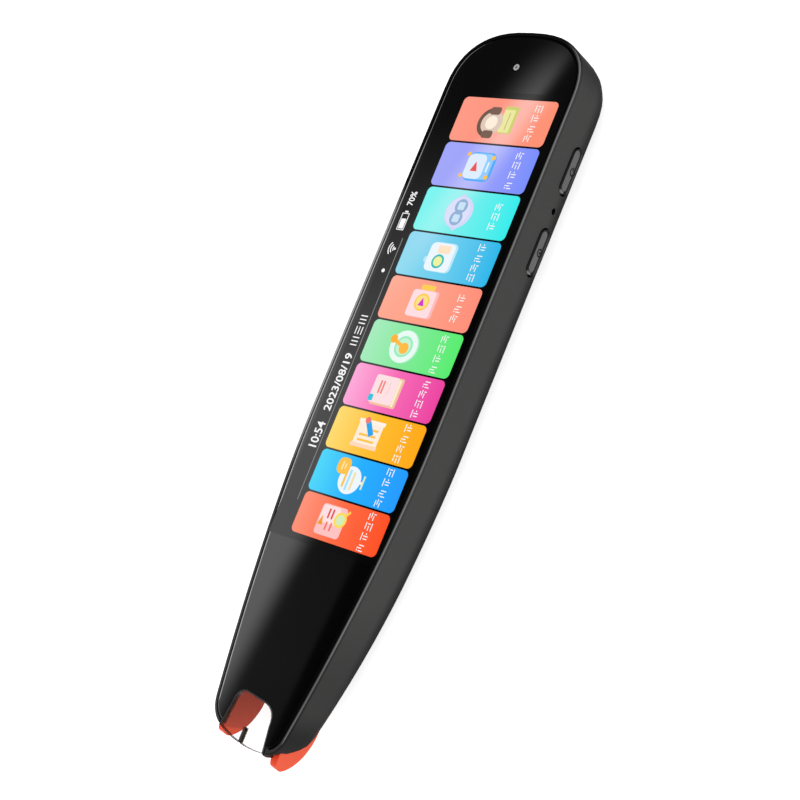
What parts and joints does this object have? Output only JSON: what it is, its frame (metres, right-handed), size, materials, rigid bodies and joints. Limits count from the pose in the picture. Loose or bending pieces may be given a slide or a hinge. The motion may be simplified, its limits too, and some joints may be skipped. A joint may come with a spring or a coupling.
{
  "type": "scanning pen",
  "caption": "Flat handheld scanning pen with a round head, full length display, side keys, back speaker and a forked tip with sliding orange skids.",
  "frame": {"origin": "middle of the footprint of the pen lying on its flat back", "axes": "+Z out of the display, +Y towards the round head, +X towards the side with the keys"},
  "size_m": [0.034, 0.1536, 0.0149],
  "materials": {
    "shell": "fine matte dark grey moulding",
    "lens": "glossy black cover lens",
    "window": "clear moulded window",
    "pane": "tinted scan pane and scan lens",
    "display": "dark display module",
    "steel": "pressed and drawn steel",
    "black": "black moulded inner parts",
    "key": "satin grey keys",
    "board": "green circuit board",
    "battery": "foil pouch",
    "skid": "satin orange moulding",
    "cloth": "black dust cloth",
    "gasket": "soft foam rubber",
    "light": "small white light housings",
    "plunger": "switch plungers"
  },
  "bodies": {
    "pen_body": {"back_shell": "shell", "front_lens": "lens", "tip_window": "window", "display_panel": "display", "display_plate": "steel", "front_sensor": "black", "speaker_grille": "shell", "speaker_cloth": "cloth", "speaker_gasket": "gasket", "speaker_driver": "steel", "power_switch": "black", "function_switch": "black", "microphone": "steel", "socket_shell": "steel", "socket_tongue": "black", "main_board": "board", "processor_shield": "steel", "memory_chip": "black", "board_screw_1": "steel", "board_screw_2": "steel", "board_screw_3": "steel", "battery": "battery", "scan_liner": "black", "scan_pane": "pane", "scan_barrel": "black", "scan_lens": "pane", "scan_light_1": "light", "scan_light_2": "light", "trigger_switch": "black", "aiming_rib": "black"},
    "power_key_body": {"power_key": "key", "power_plunger": "plunger"},
    "function_key_body": {"function_key": "key", "function_plunger": "plunger"},
    "skid_body": {"skid_fin_left": "skid", "skid_fin_right": "skid", "skid_yoke": "skid", "trigger_plunger": "plunger"}
  },
  "joints": [
    {"name": "power_key_press", "type": "slide", "parent": "pen_body", "child": "power_key_body", "axis": [-1, 0, 0], "range_m": [0, 0.00035], "stiffness_N_per_m": 800, "springref_m": -0.0005},
    {"name": "function_key_press", "type": "slide", "parent": "pen_body", "child": "function_key_body", "axis": [-1, 0, 0], "range_m": [0, 0.00035], "stiffness_N_per_m": 800, "springref_m": -0.0005},
    {"name": "skid_press", "type": "slide", "parent": "pen_body", "child": "skid_body", "axis": [0, 1, 0], "range_m": [0, 0.0005], "stiffness_N_per_m": 700, "springref_m": -0.0006}
  ]
}
